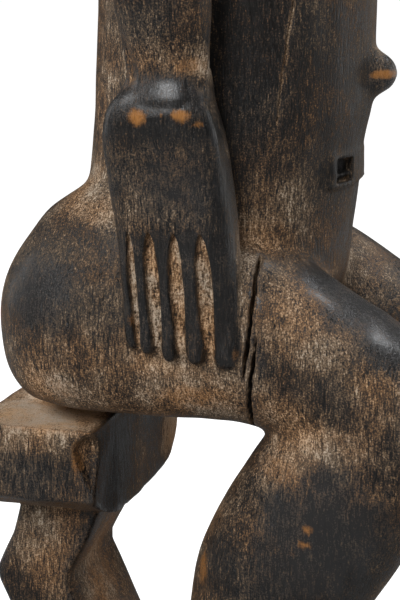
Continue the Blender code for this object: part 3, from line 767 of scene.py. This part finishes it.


# Where the surface is dusty, polished with a painted sheen, rubbed bare, or given painted shade

# Strokes, each laid over the ones before it: value, forward, side, height, and their reaches. Rubs, and
# strokes at a negative side, are on that side alone, the others on both
DUST = [
    (0.12, 12, 32, 88, 14, 12, 30), (0.3, 15, 32, 66, 8, 10, 10), (0.26, 28, 14, 78, 9, 16, 28),
    (0.52, 16, 30, 53, 12, 12, 7), (0.66, 9, 33, 47, 6, 12, 6), (0.6, 10, 40, 34, 4, 10, 14),
    (0.52, 22, 38, 34, 9, 12, 9), (0.54, 27, 42, 27, 10, 10, 7), (0.5, 36, 42, 20, 10, 10, 8),
    (0.56, 20, 42, 12, 12, 10, 8), (0.46, 42, 42, 16, 8, 10, 9), (0.34, 20, 44, 21, 6, 8, 3),
    (0.32, 27, 44, 16.4, 8, 8, 4), (0.32, 34, 44, 11.5, 8, 8, 4), (0.05, 28, 27, 38.5, 8, 9, 4),
    (0.03, 37, 30, 32.5, 10, 11, 5), (0.03, 46, 36, 25.5, 9, 10, 5), (0.54, 29, -19, 36, 14, 14, 10),
    (0.6, 0, 41, 12, 14, 10, 6), (0.7, -7, 43, 19, 8, 6, 3), (0.47, -22, 41, 17, 10, 8, 8),
    (0.64, -35, 38, 11, 10, 8, 5), (0.44, -31, 41, 23, 8, 8, 6), (0.14, -37, 38, 34, 12, 12, 9),
    (0.34, -24, 36, 44, 10, 12, 8), (0.38, -19, 42, 30, 5, 8, 7), (0.66, -23, 33, 53, 9, 12, 4),
    (0.68, -30, 22, 57, 9, 14, 6), (0.55, 21, 41, -3, 10, 10, 6), (0.68, 29, 42, 4, 8, 8, 4),
    (0.6, 36, 43, 4, 8, 8, 4), (0.1, 32, 44, -14, 13, 8, 7), (0.2, 32, 43.5, -5, 6, 8, 3.5),
    (0.12, 31, 43, -29, 17, 10, 12), (0.22, 8, 39, -27, 8, 8, 8), (1, -42, 25, 0.5, 20, 30, 2.4),
    (0.72, -47, 36, -4.5, 12, 3, 3), (0.26, -42, 36, -12, 16, 3, 7), (0.16, -25.5, 16, -12, 3, 14, 14),
    # The strokes at forward -25.5 and side -30, here and among the rubs, make the far end of the seat's front
    # paler and warmer: partly its dust and wear, partly painted light where the lamps reach it little
    (0.44, -25.5, -12, -18, 3, 14, 8), (0.9, -25.5, -30, -16, 3, 10, 10), (0.56, -46, 18, -34, 9, 8, 14),
    (0.62, -36, 0, -50, 6, 18, 26), (0.22, -52, 18, -52, 6, 8, 8), (0.32, -4, 50, 98, 14, 10, 12),
    (0.74, 4, 50, 87, 7, 8, 3.4), (0.52, -5, 52, 89, 8, 8, 3), (0.12, -3, 52, 80.5, 13, 9, 3.8),
    (0.02, -3, 50, 73.5, 15, 9, 4.5), (0.24, -3, 50, 62, 15, 8, 11), (0.42, -10, 49, 56, 4, 8, 8),
    (0.1, 8, 47, 56, 4, 8, 12),
]
# Gloss strokes: they set the coat and roughness, and also how far the colour is mixed towards a painted grey
# sheen
POLISH_AND_SHEEN = [
    (0.4, -3, 52, 73, 14, 9, 5), (1, -3, 52, 81, 14, 9, 4.5), (0.85, -2, 52, 60, 15, 8, 12),
    (0.8, 0, 48, 32, 15, 7, 14), (1, 38, 30, 33, 20, 14, 8), (0.05, 28, 12, 78, 12, 16, 30),
    (0.9, -37, 36, 34, 12, 12, 9), (1, 31, 44, -16, 15, 8, 20), (0, -25.5, -12, -15, 3, 30, 16),
    (0.6, -42, 36, -11, 14, 3, 6), (0.8, 36, 0, 83, 6, 8, 6),
]
# Painted shade: near-black in the scar pockets and in the split beside the seat's chipped corner, where shade
# falls
PAINTED_SHADE = [
    (1, 26, 12.5, 61, 6, 5.5, 3.2), (0.6, -27, 36, -9, 0.7, 4, 6),
]
RUBS = [
    (1, -8.5, 52, 76, 2.2, 5, 2.1), (1, 0.9, 52, 76.7, 2.1, 5, 1.3), (0.7, 4.4, 51, 74.6, 2, 5, 0.7),
    (0.6, -3.1, 52, 76.6, 0.6, 5, 0.9), (0.5, 3.5, 50, 87, 5, 5, 2), (0.7, 11.2, 47, 23, 1.2, 4, 2.6),
    (0.5, -13, 46, 30, 1, 4, 2), (0.45, -33, 41, 11, 6, 6, 4), (0.45, 0, 41, 12, 10, 8, 4),
    # The rub at forward -25.5 and side -30 is partly painted light on the seat's far front end
    (0.42, 21, 41, -4, 7, 8, 4), (0.55, -36, 0, -45, 6, 14, 24), (0.55, -25.5, -30, -16, 3, 10, 10),
    (0.48, -42, 25, 0.5, 20, 30, 2.4), (0.5, -29.5, 36, -7, 1.6, 4, 6), (1, 26.1, 47, -19.7, 2.8, 6, 0.9),
    (1, 27.9, 47, -15.9, 1.8, 6, 1.2), (0.9, 23.8, 47, -22.4, 1.8, 6, 0.7), (0.7, 1.5, 36, -31, 1.6, 4, 5),
    (1, 36, 4, 82.6, 3, 7, 1.2),
]


def stroke(at, ragged, both, forward, side, height, *reach):
    """1 in the middle of a stroke, 0 outside its ragged outline, for points at these places."""
    f, s, z = at
    if both:
        s, side = np.abs(s), abs(side)
    parts = [away / far for away, far in zip((f - forward, s - side, z - height), reach)]
    return step(1.5, 0.3, np.sqrt(sum(part**2 for part in parts)) + ragged)


def relief(mesh):
    """Marks on the fine mesh how hollow and how proud it is at each vertex, from 0 to 1."""
    points = read_points(mesh)
    normals = read_normals(mesh)
    net = Net(mesh)
    hollow = np.zeros(len(points))
    proud = np.zeros(len(points))
    smooth = points
    done = 0
    for rounds, gain in ((3, 5.0), (12, 1.8), (48, 0.75)):
        smooth = net.relaxed(smooth, rounds - done)
        done = rounds
        height = np.einsum("ij,ij->i", points - smooth, normals) / MM * gain
        hollow = np.maximum(hollow, np.clip(-height, 0, 1))
        proud = np.maximum(proud, np.clip(height, 0, 1))
    write_mask(mesh, "hollow", net.relaxed(hollow, 2))
    write_mask(mesh, "proud", net.relaxed(proud, 2))


def write_mask(mesh, name, values):
    mask = mesh.attributes.get(name) or mesh.attributes.new(name, "FLOAT", "POINT")
    mask.data.foreach_set("value", np.clip(values, 0, 1).astype(np.float32))


def read_mask(mesh, name):
    return stored(mesh.attributes[name].data, "value").astype(float)


def paint(mesh):
    """Dust, gloss with a painted sheen, rub and painted shade at each vertex, from the shape itself and from
    the named places.
    """
    points = read_points(mesh)
    at = places(points)
    hollow, proud = read_mask(mesh, "hollow"), read_mask(mesh, "proud")
    out = {
        "dust": 0.40 + 0.10 * noise(points, (14, 14, 26), 41) + 0.07 * noise(points, 5, 42),
        "polish_and_sheen": 0.35 + 0.25 * noise(points, 12, 43),
        "rub": np.zeros(len(points)),
        "painted_shade": np.zeros(len(points)),
    }
    ragged = 0.2 * noise(points, (3, 3, 6), 31) + 0.14 * noise(points, 1.2, 32)
    for name, strokes in (("dust", DUST), ("polish_and_sheen", POLISH_AND_SHEEN), ("painted_shade", PAINTED_SHADE), ("rub", RUBS)):
        for value, *where in strokes:
            weight = stroke(at, ragged, name != "rub" and where[1] >= 0, *where)
            out[name] += (value - out[name]) * weight
    caught = step(0.10, 0.75, hollow)
    proud *= step(240, 225, at[2]) * 0.6 + 0.4
    out["dust"] += (0.85 - out["dust"]) * 0.75 * caught - 0.15 * step(0.15, 0.6, proud)
    out["polish_and_sheen"] += 0.35 * step(0.1, 0.6, proud) - 0.7 * caught
    out["rub"] += 0.25 * step(0.5, 1.0, proud)
    pits = step(0.1, 0.8, noise(points, 0.45, 44))
    for hand in (1, -1):
        beds = groove_share(points, hand)
        backs = finger_share(points, hand) * (1 - beds)
        out["dust"] += (0.12 - out["dust"]) * backs
        out["polish_and_sheen"] += (0.65 - out["polish_and_sheen"]) * backs
        out["dust"] += (0.76 - 0.40 * pits - out["dust"]) * beds
        out["rub"] += (0.55 - out["rub"]) * beds * (1 - 0.5 * beds)
        out["polish_and_sheen"] *= 1 - beds
    # Cracks: dust on their lips, and painted shade inside the hip crack and its fork
    for (away, half, _), strength, lip in zip(crack_field(points), (1, 1, 0), (1.4, 1.4, 0.5)):
        edge = step(half + lip, half, away)
        out["dust"] += (0.62 - out["dust"]) * edge * 0.7
        out["painted_shade"] = np.maximum(out["painted_shade"], strength * step(half + 0.15, half * 0.5, away))
    # No gloss or painted sheen where shade is painted
    out["polish_and_sheen"] *= 1 - out["painted_shade"]
    for name, values in out.items():
        write_mask(mesh, name, values)


# Materials


class Graph:
    """Adds shader nodes to a tree and joins them."""

    def __init__(self, tree):
        self.tree = tree

    def add(self, kind, ins=(), out=0, **settings):
        made = self.tree.nodes.new("ShaderNode" + kind)
        for key, value in settings.items():
            setattr(made, key, value)
        self.feed(made, ins)
        return made.outputs[out]

    def feed(self, node, ins):
        """Links or sets these inputs of a node."""
        for key, value in dict(ins).items():
            if isinstance(value, bpy.types.NodeSocket):
                self.tree.links.new(value, node.inputs[key])
            else:
                node.inputs[key].default_value = value

    def math(self, operation, a, b=0.0, clamp=False):
        return self.add("Math", {0: a, 1: b}, operation=operation, use_clamp=clamp)

    def mix(self, share, a, b, blend="MIX"):
        colours = {0: share, 6: a, 7: b}
        return self.add("Mix", colours, 2, data_type="RGBA", blend_type=blend, clamp_factor=True)

    def ramp(self, value, low, high, start=0.0, end=1.0):
        spans = {"Value": value, "From Min": low, "From Max": high, "To Min": start, "To Max": end}
        return self.add("MapRange", spans, interpolation_type="SMOOTHSTEP")

    def noise(self, vector, scale, detail=2.0, roughness=0.5):
        pattern = {"Vector": vector, "Scale": scale, "Detail": detail, "Roughness": roughness}
        return self.add("TexNoise", pattern)

    def mask(self, name):
        return self.add("Attribute", out=2, attribute_type="GEOMETRY", attribute_name=name)


def new_material(name):
    """A new material, its nodes and its shader."""
    material = bpy.data.materials.new(name)
    material.use_nodes = True
    return material, Graph(material.node_tree), material.node_tree.nodes["Principled BSDF"]


def rgba(colour):
    return (*colour[:3], 1.0)


# Patterns of the wood: lumps to the metre, detail and roughness
STREAK, FIBRE, PORE = (1150, 4, 0.62), (3100, 3, 0.6), (1500, 2, 0.5)
BROAD, SPECK, EARTH = (150, 5, 0.6), (2500, 3, 0.68), (75, 3, 0.6)
GRAIN_SQUASH = 0.16  # how much the pattern is drawn out along the trunk
WARM_EARTH, COOL_EARTH = (1.12, 0.96, 0.80, 1), (0.93, 1.0, 1.10, 1)


def wood(settings):
    """Blackened wood: streaked along the trunk, dusty where nobody touches it, polished where hands do, with
    a painted grey sheen where polished and painted shade in cracks and pockets.
    """
    material, g, shader = new_material("blackened_wood")
    at = g.add("TexCoord", out=3)
    along = g.add("Mapping", {"Vector": at, "Scale": (1, 1, GRAIN_SQUASH)})
    streak, fibre = g.noise(along, *STREAK), g.noise(along, *FIBRE)
    broad, speck = g.noise(at, *BROAD), g.noise(at, *SPECK)
    pore = g.ramp(g.noise(along, *PORE), 0.60, 0.68)
    dust, polish_and_sheen, rub, painted_shade = (g.mask(name) for name in ("dust", "polish_and_sheen", "rub", "painted_shade"))

    def lifted(value, share):
        return g.math("MULTIPLY", g.math("SUBTRACT", value, 0.5), share)

    level = dust
    for pattern, share in ((streak, 0.7), (fibre, 1.05), (broad, 0.65), (speck, 1.4)):
        level = g.math("ADD", level, lifted(pattern, share))
    level = g.math("SUBTRACT", level, g.math("MULTIPLY", pore, 0.22), clamp=True)
    ramp = g.add("ValToRGB", {0: level})
    stops = ramp.node.color_ramp.elements
    stops[0].position, stops[1].position = 0.08, 0.95
    stops[0].color, stops[1].color = rgba(settings.wood_black), rgba(settings.dust_pale)
    between = ((0.25, settings.wood_dark), (0.43, settings.wood_brown), (0.66, settings.dust_tan))
    for position, colour in between:
        stops.new(position).color = rgba(colour)
    earth = g.mix(g.ramp(g.noise(at, *EARTH), 0.35, 0.65), WARM_EARTH, COOL_EARTH)
    colour = g.mix(1.0, ramp, earth, "MULTIPLY")
    # Painted sheen: on polished wood the colour is mixed up to a quarter of the way towards a greyish black
    # that stands in for the wood's sheen
    painted_sheen_share = g.ramp(polish_and_sheen, 0.40, 0.95)
    colour = g.mix(g.math("MULTIPLY", painted_sheen_share, 0.25), colour, rgba(settings.painted_sheen))
    worn = g.ramp(g.math("ADD", rub, lifted(g.math("ADD", speck, streak), 0.8)), 0.60, 1.50)
    colour = g.mix(worn, colour, rgba(settings.rubbed))
    # Painted shade: near-black where the shade mask is high, in cracks and scar pockets
    painted_shade_share = g.ramp(painted_shade, 0.15, 0.7)
    colour = g.mix(painted_shade_share, colour, rgba(settings.painted_shade))
    rough = g.ramp(level, 0.12, 0.60, 0.42, 0.88)
    rough = g.math("SUBTRACT", rough, g.math("MULTIPLY", polish_and_sheen, 0.24))
    rough = g.math("ADD", rough, lifted(streak, 0.3), clamp=True)
    bare = g.ramp(level, 0.65, 0.30)
    coat = g.math("MULTIPLY", g.ramp(polish_and_sheen, 0.30, 0.95), g.math("MULTIPLY", bare, 0.5))
    height = g.math("ADD", g.math("MULTIPLY", streak, 0.6), g.math("MULTIPLY", fibre, 0.45))
    height = g.math("SUBTRACT", height, g.math("MULTIPLY", pore, 0.45))
    height = g.math("ADD", height, g.math("MULTIPLY", g.math("MULTIPLY", speck, level), 0.9))
    bump = g.add("Bump", {"Strength": 0.8, "Distance": settings.grain_height, "Height": height})
    g.feed(shader, {"Base Color": colour, "Roughness": rough, "Coat Weight": coat, "Normal": bump})
    g.feed(shader, {"Coat Roughness": 0.3, "Specular IOR Level": 0.36})
    return material


FLOOR_GREY = 0.34
# What the camera sees of the floor's own glow: from and to how far off, in metres, and how strong. It is
# weaker near the carving, a painted shade round the base beside its real shadow
FLOOR_GLOW_AND_SHADE = (0.08, 0.165, 0.66, 1.0)


def pale_floor():
    """A matt, pale floor that looks white and lights the carving only softly, with a painted shade round the
    base.
    """
    material, g, shader = new_material("pale_floor")
    apart = g.add("VectorMath", {0: g.add("TexCoord", out=3)}, out=1, operation="LENGTH")
    # Painted shade: the glow the camera sees is weaker near the carving, so the floor is greyer round the
    # base
    glow = g.math("MULTIPLY", g.add("LightPath"), g.ramp(apart, *FLOOR_GLOW_AND_SHADE))
    g.feed(shader, {"Base Color": (FLOOR_GREY, FLOOR_GREY, FLOOR_GREY, 1), "Emission Color": (1, 1, 1, 1)})
    g.feed(shader, {"Roughness": 0.9, "Specular IOR Level": 0.1, "Emission Strength": glow})
    return material


def carved_skin(settings):
    """The whole carving as one skin, cut, worn and thinned."""
    body = melted(body_forms().mesh("body"), settings.body_size / MM)
    write_points(body, Net(body).relaxed(read_points(body), settings.join_rounding))
    forms = Forms()
    seat_forms(forms)
    face_forms(forms)
    scar_forms(forms)
    for hand in (1, -1):
        hand_forms(forms, hand)
    sharp = forms.mesh("sharp")
    bm = bmesh.new()
    bm.from_mesh(body)
    bm.from_mesh(sharp)
    bm.to_mesh(sharp)
    bm.free()
    skin = melted(sharp, settings.skin_size / MM)
    write_points(skin, Net(skin).relaxed(read_points(skin), 3, 0.52))
    carve(skin)
    relief(skin)
    return kept_in_box(thinned(skin, settings.near_triangles, settings.far_triangles))


# Name, place, size, power and colour of each lamp
LIGHTS = [
    ("key_box", (-0.90, 0.12, 0.70), (0.36, 0.36), 6.5, (0.98, 0.99, 1.0)),
    ("back_box", (-0.45, 0.80, 0.95), (0.4, 0.4), 3.2, (1.0, 1.0, 1.0)),
    ("left_strip", (0.10, 0.95, 0.35), (0.25, 0.8), 1.2, (1.0, 1.0, 1.0)),
    ("front_strip", (0.05, -0.95, 0.35), (0.25, 0.8), 1.7, (1.0, 1.0, 1.0)),
    ("far_strip", (0.75, -0.60, 0.22), (0.25, 0.6), 1.2, (1.0, 0.98, 0.95)),
    ("top_box", (0.33, -0.26, 1.15), (0.35, 0.35), 7.5, (0.97, 0.98, 1.0)),
    ("side_fill", (-0.95, 0.6, 0.2), (0.85, 0.85), 0.8, (1.0, 0.99, 0.97)),
]
LAMP_AIM = (0, 0, 0.16)
WORLD_LIGHT = 0.10  # what the world sheds on the carving; the camera sees it white
FLOOR_RADIUS = 12.0


# Settings, operators and panel


def length(name, description, default):
    """A length that can be set in the panel."""
    return bpy.props.FloatProperty(
        name=name, description=description, default=default, min=0.0001, unit="LENGTH"
    )


def count(name, description, default):
    """A whole number that can be set in the panel."""
    return bpy.props.IntProperty(name=name, description=description, default=default, min=0)


def tint(name, description, default):
    """A colour that can be set in the panel."""
    return bpy.props.FloatVectorProperty(
        name=name, description=description, default=default, subtype="COLOR", min=0, max=1
    )


class CarvingSettings(bpy.types.PropertyGroup):
    """Sizes and colours of the carving."""

    skin_size: length("Skin size", "Width of the melted skin's faces", 0.00062)
    body_size: length("Body size", "Width of the body's faces before its joins are rounded", 0.0010)
    join_rounding: count("Join rounding", "Rounds of smoothing over the joins of trunk and limbs", 14)
    near_triangles: count("Triangles, photographed side", "Kept where the photograph looks", 100000)
    far_triangles: count("Triangles, elsewhere", "Kept on the rest of the carving", 88000)
    grain_height: length("Grain height", "Depth of the wood's fibres and pores", 0.00025)
    wood_black: tint("Black wood", "Smoked wood where it is darkest", (0.0050, 0.0044, 0.0040))
    wood_dark: tint("Dark wood", "Most of the smoked wood", (0.0145, 0.0102, 0.0070))
    wood_brown: tint("Brown wood", "Wood that shows through the smoke", (0.078, 0.049, 0.028))
    dust_tan: tint("Tan dust", "Earth caught in the grain and the hollows", (0.26, 0.165, 0.092))
    dust_pale: tint("Pale dust", "Dry dust on top of it", (0.70, 0.54, 0.38))
    rubbed: tint("Rubbed wood", "Bare wood where the patina is worn off", (0.40, 0.165, 0.036))
    # Painted sheen: the greyish black mixed into polished wood in place of its sheen
    painted_sheen: tint("Handled wood", "Greyish black that hands have polished", (0.020, 0.020, 0.021))
    # Painted shade: near-black for the insides of cracks and scar pockets, where shade falls
    painted_shade: tint("Soot", "The inside of cracks", (0.0045, 0.0030, 0.0022))


class CARVING_OT_figure(bpy.types.Operator):
    """Carve the seated figure with its stool and base as one piece"""

    bl_idname = "carving.figure"
    bl_label = "Seated figure"

    def execute(self, context):
        settings = context.scene.carving
        skin = carved_skin(settings)
        paint(skin)
        skin.materials.clear()
        skin.materials.append(wood(settings))
        skin.shade_smooth()
        ob = linked("carved_figure", skin)
        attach(ob, "root")
        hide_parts(NODE)
        return {"FINISHED"}


class CARVING_OT_stage(bpy.types.Operator):
    """Lay the pale floor, light the studio and set the camera at the photograph's angle"""

    bl_idname = "carving.stage"
    bl_label = "Stage"

    def execute(self, context):
        scene = context.scene
        mesh = bpy.data.meshes.new("floor")
        bm = bmesh.new()
        bmesh.ops.create_circle(bm, cap_ends=True, radius=FLOOR_RADIUS, segments=96)
        bm.to_mesh(mesh)
        bm.free()
        mesh.materials.append(pale_floor())
        floor = linked("floor", mesh)

        world = bpy.data.worlds.new("studio")
        world.use_nodes = True
        scene.world = world
        g = Graph(world.node_tree)
        seen = g.add("LightPath")
        strength = g.add("Mix", {0: seen, 2: WORLD_LIGHT, 3: 1.0}, data_type="FLOAT")
        g.feed(world.node_tree.nodes["Background"], {"Strength": strength, "Color": (1, 1, 1, 1)})

        for name, spot, size, power, colour in LIGHTS:
            light = bpy.data.lights.new(name, "AREA")
            light.shape, light.size, light.size_y = "RECTANGLE", *size
            light.energy = power
            light.color = colour
            lamp = linked(name, light)
            lamp.location = spot
            lamp.visible_camera = False
            lamp.rotation_euler = (Vector(LAMP_AIM) - Vector(spot)).to_track_quat("-Z", "Y").to_euler()

        camera = linked("camera", bpy.data.cameras.new("camera"))
        target = place(*VIEW_TARGET)
        toward = toward_camera()
        camera.location = target + toward * VIEW_DISTANCE * MM
        camera.rotation_euler = (-toward).to_track_quat("-Z", "Y").to_euler()
        camera.data.lens = VIEW_LENS
        camera.data.sensor_width = 36.0
        camera.data.clip_start = 0.01
        scene.camera = camera
        scene.view_settings.view_transform = "Standard"
        return {"FINISHED"}


class CARVING_PT_panel(bpy.types.Panel):
    """Buttons for the carving"""

    bl_label = "Carving"
    bl_space_type = "VIEW_3D"
    bl_region_type = "UI"
    bl_category = "Carving"

    def draw(self, context):
        for operator in OPERATORS:
            self.layout.operator(operator.bl_idname)


OPERATORS = (CARVING_OT_figure, CARVING_OT_stage)
CLASSES = (CarvingSettings, *OPERATORS, CARVING_PT_panel)


def register():
    for cls in CLASSES:
        bpy.utils.register_class(cls)
    bpy.types.Scene.carving = bpy.props.PointerProperty(type=CarvingSettings)


def unregister():
    del bpy.types.Scene.carving
    for cls in reversed(CLASSES):
        bpy.utils.unregister_class(cls)


def main():
    register()
    bpy.ops.carving.figure()
    bpy.ops.carving.stage()


if __name__ == "__main__":
    main()
